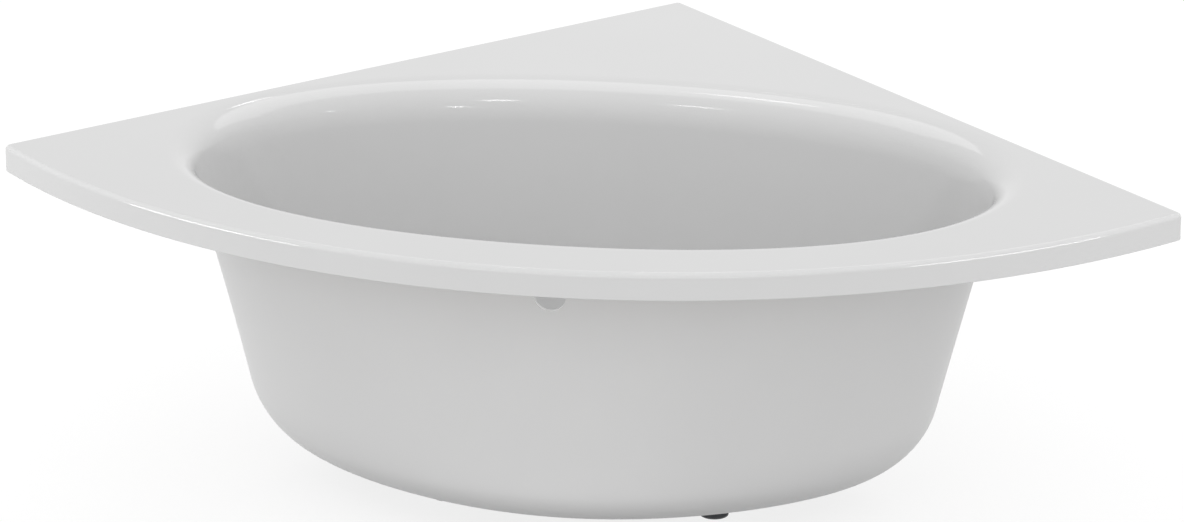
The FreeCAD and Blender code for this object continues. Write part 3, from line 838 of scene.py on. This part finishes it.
def new_material(name):
    """An empty material, its node tree, and its coordinates in metres."""
    material = bpy.data.materials.new(name)
    material.use_nodes = True
    tree = material.node_tree
    tree.nodes.clear()
    return material, tree, node(tree, "TexCoord").outputs["Object"]


def white_acrylic():
    """Cast acrylic sheet drawn into a mould: white under deep gloss, with the faint waves of forming."""
    material, tree, place = new_material("white_acrylic")
    wave = node(tree, "TexNoise", {"Vector": place, "Scale": 1 / (90 * MM), "Detail": 1.0}).outputs[0]
    cloud = node(tree, "TexNoise", {"Vector": place, "Scale": 1 / (260 * MM), "Detail": 2.0}).outputs[0]
    rub = node(tree, "TexNoise", {"Vector": place, "Scale": 1 / (60 * MM), "Detail": 2.0}).outputs[0]
    shades = {0: cloud, 6: linear("#D0D0D0"), 7: linear("#D3D3D3")}
    tone = node(tree, "Mix", shades, data_type="RGBA").outputs[2]
    gloss = node(tree, "MapRange", {"Value": rub, "To Min": 0.07, "To Max": 0.09}).outputs[0]
    bump = node(tree, "Bump", {"Height": wave, "Strength": 0.02, "Distance": 2 * MM}).outputs[0]
    look = {"Base Color": tone, "Roughness": gloss, "IOR": 1.49, "Normal": bump}
    shader = node(tree, "BsdfPrincipled", look).outputs[0]
    node(tree, "OutputMaterial", {"Surface": shader})
    return material


def white_laminate():
    """Glass laminate under sprayed white gel coat: satin, with a fine orange peel."""
    material, tree, place = new_material("white_laminate")
    peel = node(tree, "TexNoise", {"Vector": place, "Scale": 1 / (5 * MM), "Detail": 2.0}).outputs[0]
    cloud = node(tree, "TexNoise", {"Vector": place, "Scale": 1 / (180 * MM), "Detail": 3.0}).outputs[0]
    shades = {0: cloud, 6: linear("#D0D0D0"), 7: linear("#D4D4D4")}
    tone = node(tree, "Mix", shades, data_type="RGBA").outputs[2]
    satin = node(tree, "MapRange", {"Value": cloud, "To Min": 0.30, "To Max": 0.40}).outputs[0]
    bump = node(tree, "Bump", {"Height": peel, "Strength": 0.04, "Distance": 0.5 * MM}).outputs[0]
    look = {"Base Color": tone, "Roughness": satin, "IOR": 1.5, "Normal": bump}
    shader = node(tree, "BsdfPrincipled", look).outputs[0]
    node(tree, "OutputMaterial", {"Surface": shader})
    return material


def base_chipboard():
    """Raw chipboard: pressed flakes in straw and brown, matt and a little rough."""
    material, tree, place = new_material("base_chipboard")
    flake = node(tree, "TexVoronoi", {"Vector": place, "Scale": 1 / (5 * MM)}).outputs["Color"]
    dust = node(tree, "TexNoise", {"Vector": place, "Scale": 1 / (2 * MM), "Detail": 4.0}).outputs[0]
    shades = {0: flake, 6: linear("#A8845A"), 7: linear("#D2B48A")}
    tone = node(tree, "Mix", shades, data_type="RGBA").outputs[2]
    rough = node(tree, "MapRange", {"Value": dust, "To Min": 0.75, "To Max": 0.95}).outputs[0]
    bump = node(tree, "Bump", {"Height": dust, "Strength": 0.3, "Distance": 0.3 * MM}).outputs[0]
    look = {"Base Color": tone, "Roughness": rough, "IOR": 1.5, "Normal": bump}
    shader = node(tree, "BsdfPrincipled", look).outputs[0]
    node(tree, "OutputMaterial", {"Surface": shader})
    return material


# Grain runs along a batten: what varies across it is stretched this many times along it
GRAIN_STRETCH = 40


def straight_grain(hand):
    """Grain along the wall edge on one side."""
    def grain_of(tree, place):
        turned = {"Vector": place, "Rotation": (0, 0, -hand * pi / 4), "Scale": (GRAIN_STRETCH, 1, 1)}
        return node(tree, "Mapping", turned, vector_type="TEXTURE").outputs[0]
    return grain_of


def bowed_grain(tree, place):
    """Grain along the bow of the front."""
    centre = (0, FRONT_CENTRE_Y, 0)
    from_centre = node(tree, "VectorMath", {0: place, 1: centre}, operation="SUBTRACT").outputs[0]
    x, y, z = node(tree, "SeparateXYZ", {0: from_centre}).outputs
    level_part = node(tree, "CombineXYZ", {0: x, 1: y}).outputs[0]
    turn = node(tree, "Math", {0: x, 1: y}, operation="ARCTAN2").outputs[0]
    along = node(tree, "Math", {0: turn, 1: FRONT_RADIUS / GRAIN_STRETCH}, operation="MULTIPLY").outputs[0]
    across = node(tree, "VectorMath", {0: level_part}, operation="LENGTH").outputs["Value"]
    return node(tree, "CombineXYZ", {0: along, 1: across, 2: z}).outputs[0]


def batten_timber(name, grain_of):
    """Planed softwood: pale early wood and darker late wood in long streaks, matt, with open grain."""
    material, tree, place = new_material(name)
    grain = grain_of(tree, place)
    year = node(tree, "TexNoise", {"Vector": grain, "Scale": 1 / (6 * MM), "Detail": 2.0}).outputs[0]
    fibre = node(tree, "TexNoise", {"Vector": grain, "Scale": 1 / (1.2 * MM), "Detail": 3.0}).outputs[0]
    band = node(tree, "MapRange", {"Value": year, "From Min": 0.42, "From Max": 0.62}).outputs[0]
    shades = {0: band, 6: linear("#DDBE8E"), 7: linear("#B98B55")}
    tone = node(tree, "Mix", shades, data_type="RGBA").outputs[2]
    rough = node(tree, "MapRange", {"Value": fibre, "To Min": 0.6, "To Max": 0.8}).outputs[0]
    bump = node(tree, "Bump", {"Height": fibre, "Strength": 0.25, "Distance": 0.2 * MM}).outputs[0]
    look = {"Base Color": tone, "Roughness": rough, "IOR": 1.5, "Normal": bump}
    shader = node(tree, "BsdfPrincipled", look).outputs[0]
    node(tree, "OutputMaterial", {"Surface": shader})
    return material


def galvanised_steel():
    """Hot-dip galvanised strip: cool grey metal in dull and bright zinc spangles."""
    material, tree, place = new_material("galvanised_steel")
    spangle = node(tree, "TexVoronoi", {"Vector": place, "Scale": 1 / (7 * MM)}).outputs["Color"]
    shades = {0: spangle, 6: linear("#A4A9AC"), 7: linear("#CBCFD1")}
    tone = node(tree, "Mix", shades, data_type="RGBA").outputs[2]
    rough = node(tree, "MapRange", {"Value": spangle, "To Min": 0.30, "To Max": 0.48}).outputs[0]
    look = {"Base Color": tone, "Metallic": 1.0, "Roughness": rough}
    shader = node(tree, "BsdfPrincipled", look).outputs[0]
    node(tree, "OutputMaterial", {"Surface": shader})
    return material


def zinc_plate():
    """Rolled and turned steel with bright zinc plating: light bluish metal, a little cloudy."""
    material, tree, place = new_material("zinc_plate")
    cloud = node(tree, "TexNoise", {"Vector": place, "Scale": 1 / (4 * MM), "Detail": 3.0}).outputs[0]
    shades = {0: cloud, 6: linear("#B9BFC6"), 7: linear("#D6D8D4")}
    tone = node(tree, "Mix", shades, data_type="RGBA").outputs[2]
    rough = node(tree, "MapRange", {"Value": cloud, "To Min": 0.22, "To Max": 0.36}).outputs[0]
    look = {"Base Color": tone, "Metallic": 1.0, "Roughness": rough}
    shader = node(tree, "BsdfPrincipled", look).outputs[0]
    node(tree, "OutputMaterial", {"Surface": shader})
    return material


def grey_nylon():
    """Moulded nylon: dark grey, dull, with the fine spark texture of its mould."""
    material, tree, place = new_material("grey_nylon")
    spark = node(tree, "TexNoise", {"Vector": place, "Scale": 1 / (0.8 * MM), "Detail": 2.0}).outputs[0]
    cloud = node(tree, "TexNoise", {"Vector": place, "Scale": 1 / (15 * MM)}).outputs[0]
    shades = {0: cloud, 6: linear("#3A3B3D"), 7: linear("#46474A")}
    tone = node(tree, "Mix", shades, data_type="RGBA").outputs[2]
    rough = node(tree, "MapRange", {"Value": spark, "To Min": 0.42, "To Max": 0.58}).outputs[0]
    bump = node(tree, "Bump", {"Height": spark, "Strength": 0.2, "Distance": 0.1 * MM}).outputs[0]
    look = {"Base Color": tone, "Roughness": rough, "IOR": 1.53, "Normal": bump}
    shader = node(tree, "BsdfPrincipled", look).outputs[0]
    node(tree, "OutputMaterial", {"Surface": shader})
    return material


def chrome_plate():
    """Polished brass under chrome: a cool mirror with faint wipe marks."""
    material, tree, place = new_material("chrome_plate")
    wipe = node(tree, "TexNoise", {"Vector": place, "Scale": 1 / (9 * MM), "Detail": 3.0}).outputs[0]
    shades = {0: wipe, 6: linear("#D3D6D9"), 7: linear("#DEE0E2")}
    tone = node(tree, "Mix", shades, data_type="RGBA").outputs[2]
    rough = node(tree, "MapRange", {"Value": wipe, "To Min": 0.04, "To Max": 0.10}).outputs[0]
    look = {"Base Color": tone, "Metallic": 1.0, "Roughness": rough}
    shader = node(tree, "BsdfPrincipled", look).outputs[0]
    node(tree, "OutputMaterial", {"Surface": shader})
    return material


def turned_brass():
    """Bare brass off the lathe: warm yellow metal with fine rings round its axis."""
    material, tree, place = new_material("turned_brass")
    centred = node(tree, "VectorMath", {0: place, 1: (*WASTE, 0)}, operation="SUBTRACT").outputs[0]
    # The wave draws three rings in a length of its scale. Real tool marks are too fine to show.
    tool_marks = {"Vector": centred, "Scale": 1 / (10 * MM), "Distortion": 0.3}
    rings = node(tree, "TexWave", tool_marks, wave_type="RINGS", rings_direction="Z").outputs[1]
    cloud = node(tree, "TexNoise", {"Vector": place, "Scale": 1 / (8 * MM), "Detail": 2.0}).outputs[0]
    shades = {0: cloud, 6: linear("#C39A4C"), 7: linear("#D9B76C")}
    tone = node(tree, "Mix", shades, data_type="RGBA").outputs[2]
    rough = node(tree, "MapRange", {"Value": rings, "To Min": 0.22, "To Max": 0.38}).outputs[0]
    look = {"Base Color": tone, "Metallic": 1.0, "Roughness": rough}
    shader = node(tree, "BsdfPrincipled", look).outputs[0]
    node(tree, "OutputMaterial", {"Surface": shader})
    return material


def spring_steel():
    """Drawn steel wire: dark bright metal, a little oily."""
    material, tree, place = new_material("spring_steel")
    oil = node(tree, "TexNoise", {"Vector": place, "Scale": 1 / (1.5 * MM), "Detail": 2.0}).outputs[0]
    shades = {0: oil, 6: linear("#8B8D90"), 7: linear("#A9ABAD")}
    tone = node(tree, "Mix", shades, data_type="RGBA").outputs[2]
    rough = node(tree, "MapRange", {"Value": oil, "To Min": 0.2, "To Max": 0.35}).outputs[0]
    look = {"Base Color": tone, "Metallic": 1.0, "Roughness": rough}
    shader = node(tree, "BsdfPrincipled", look).outputs[0]
    node(tree, "OutputMaterial", {"Surface": shader})
    return material


def black_rubber():
    """Moulded rubber: soft black, dull, with a bloom of grey."""
    material, tree, place = new_material("black_rubber")
    bloom = node(tree, "TexNoise", {"Vector": place, "Scale": 1 / (6 * MM), "Detail": 3.0}).outputs[0]
    shades = {0: bloom, 6: linear("#1B1B1C"), 7: linear("#2A2A2B")}
    tone = node(tree, "Mix", shades, data_type="RGBA").outputs[2]
    rough = node(tree, "MapRange", {"Value": bloom, "To Min": 0.65, "To Max": 0.85}).outputs[0]
    look = {"Base Color": tone, "Roughness": rough, "IOR": 1.52}
    shader = node(tree, "BsdfPrincipled", look).outputs[0]
    node(tree, "OutputMaterial", {"Surface": shader})
    return material


def timber_battens():
    """The four straight battens along the walls and the bowed one at the front."""
    end_start = SIDE_LENGTH - END_BATTEN_GAP - END_BATTEN_LENGTH
    for name, hand in (("left", -1), ("right", 1)):
        timber = batten_timber("batten_timber_" + name, straight_grain(hand))
        wall_batten("corner_batten_" + name, CORNER_BATTEN_GAP, CORNER_BATTEN_LENGTH, hand, timber)
        wall_batten("end_batten_" + name, end_start, END_BATTEN_LENGTH, hand, timber)
    front_batten(batten_timber("batten_timber_bowed", bowed_grain))


zinc = zinc_plate()
chrome = chrome_plate()
brass = turned_brass()
acrylic_sheet(white_acrylic())
laminate_skin(white_laminate())
timber_battens()
for leg in LEGS:
    threaded_rod(leg, zinc)
leg_nuts("weld_nuts", zinc)
leg_nuts("lock_nuts", zinc)
rail_screws(zinc)
waste_body(chrome)
back_nut(brass)
plug_lid(chrome)

# The CAD's own solids that stay, by the record's material slots
FINISHES = {
    "base_chipboard": base_chipboard(),
    "galvanised_steel": galvanised_steel(),
    "grey_nylon": grey_nylon(),
    "chrome_brass": chrome,
    "plain_brass": brass,
    "spring_steel": spring_steel(),
    "black_rubber": black_rubber(),
}
for part in frame["record"]["subparts"]:
    if part["material_slot"] in FINISHES:
        for slot in frame["nodes"][part["node"]].material_slots:
            slot.material = FINISHES[part["material_slot"]]


# The studio, in metres and degrees. A spark is a small panel overhead: azimuth, elevation and brightness.
FLOOR_HALF_WIDTH = 60.0
Panel = namedtuple("Panel", "azimuth elevation distance width height brightness")
PANELS = {
    "front_panel": Panel(0, -2, 5.0, 6.0, 0.6, 2.8),
    "left_panel": Panel(-59, -1, 5.8, 3.0, 0.8, 14.5),
    "right_panel": Panel(59, -1, 5.8, 3.0, 0.8, 11.8),
    "back_panel": Panel(180, 54, 4.3, 4.0, 2.0, 1.1),
}
SPARKS = ((-4, 81, 14), (15, 63, 15), (65, 60, 9), (-79, 77, 11), (-160, 56, 6), (-172, 37, 6))
SPARK_DISTANCE = 12.0
SPARK_SIZE = 0.45


def seen_rays(tree):
    """One for rays that show the stage: straight from the camera, mirrored or through glass."""
    path = node(tree, "LightPath").outputs
    straight = {0: path["Is Camera Ray"], 1: path["Is Glossy Ray"]}
    shown = node(tree, "Math", straight, operation="MAXIMUM").outputs[0]
    return node(tree, "Math", {0: shown, 1: path["Is Transmission Ray"]}, operation="MAXIMUM").outputs[0]


def floor_material():
    """A plain pale floor that looks white and keeps a soft shadow of the bath."""
    material, tree, _ = new_material("studio_floor")
    paint = node(tree, "BsdfDiffuse", {"Color": linear("#7C7C7C")}).outputs[0]
    shadowed = node(tree, "BsdfDiffuse", {"Color": linear("#808080")}).outputs[0]
    white = node(tree, "Emission", {"Color": linear("#FFFFFF"), "Strength": 0.80}).outputs[0]
    shown = node(tree, "AddShader", {0: shadowed, 1: white}).outputs[0]
    both = node(tree, "MixShader", {0: seen_rays(tree), 1: paint, 2: shown}).outputs[0]
    node(tree, "OutputMaterial", {"Surface": both})
    return material


def studio_floor():
    """A floor wide enough to reach past the view on all sides."""
    half = FLOOR_HALF_WIDTH
    corners = [(-half, -half, 0), (half, -half, 0), (half, half, 0), (-half, half, 0)]
    mesh = bpy.data.meshes.new("studio_floor")
    mesh.from_pydata(corners, [], [(0, 1, 2, 3)])
    mesh.materials.append(floor_material())
    made = bpy.data.objects.new("studio_floor", mesh)
    bpy.context.collection.objects.link(made)


def studio_world():
    """An even surround that looks white."""
    world = bpy.data.worlds.new("studio")
    bpy.context.scene.world = world
    world.use_nodes = True
    tree = world.node_tree
    tree.nodes.clear()
    light = node(tree, "Background", {"Color": linear("#FFFFFF"), "Strength": 0.93}).outputs[0]
    white = node(tree, "Background", {"Color": linear("#FFFFFF"), "Strength": 1.0}).outputs[0]
    both = node(tree, "MixShader", {0: seen_rays(tree), 1: light, 2: white}).outputs[0]
    node(tree, "OutputWorld", {"Surface": both})


def toward(azimuth, elevation):
    """The way from the bath to an azimuth right of its front and an elevation, in degrees."""
    turn = radians(azimuth)
    rise = radians(elevation)
    return Vector((cos(rise) * sin(turn), -cos(rise) * cos(turn), sin(rise)))


def softbox(name, panel):
    """An evenly bright panel aimed at the bath, unseen by the camera."""
    data = bpy.data.lights.new(name, "AREA")
    data.shape = "RECTANGLE"
    data.size = panel.width
    data.size_y = panel.height
    data.energy = pi * panel.width * panel.height * panel.brightness
    made = bpy.data.objects.new(name, data)
    back = toward(panel.azimuth, panel.elevation)
    made.location = Vector((0, 0, DECK_HEIGHT)) + back * panel.distance
    made.rotation_mode = "QUATERNION"
    made.rotation_quaternion = (-back).to_track_quat("-Z", "Y")
    made.visible_camera = False
    bpy.context.collection.objects.link(made)


def studio_light():
    """Soft panels round the front and behind, and small ones overhead that spark on the rolled edge."""
    for name, panel in PANELS.items():
        softbox(name, panel)
    for i, (azimuth, elevation, brightness) in enumerate(SPARKS):
        spark = Panel(azimuth, elevation, SPARK_DISTANCE, SPARK_SIZE, SPARK_SIZE, brightness)
        softbox("overhead_%d" % (i + 1), spark)
    bpy.context.scene.view_settings.view_transform = "Standard"


# The camera: the way to it in degrees, its distance and its aim in metres, and its lens in millimetres
VIEW_AZIMUTH = 10.02
VIEW_ELEVATION = 20.08
VIEW_DISTANCE = 8.942
AIM_RIGHT = 0.0837
AIM_FROM_CORNER = 1.3816
LENS = 171.5
SENSOR_WIDTH = 36.0
FAR_CLIP = 200.0


def photo_camera():
    """The camera that was fitted to the rim's corners and edges."""
    data = bpy.data.cameras.new("camera")
    data.lens = LENS
    data.sensor_width = SENSOR_WIDTH
    data.clip_end = FAR_CLIP
    camera = bpy.data.objects.new("camera", data)
    back = toward(VIEW_AZIMUTH, VIEW_ELEVATION)
    aim = Vector((AIM_RIGHT, CORNER_Y - AIM_FROM_CORNER, DECK_HEIGHT))
    camera.location = aim + back * VIEW_DISTANCE
    camera.rotation_mode = "QUATERNION"
    camera.rotation_quaternion = (-back).to_track_quat("-Z", "Y")
    bpy.context.collection.objects.link(camera)
    bpy.context.scene.camera = camera


studio_floor()
studio_world()
studio_light()
photo_camera()
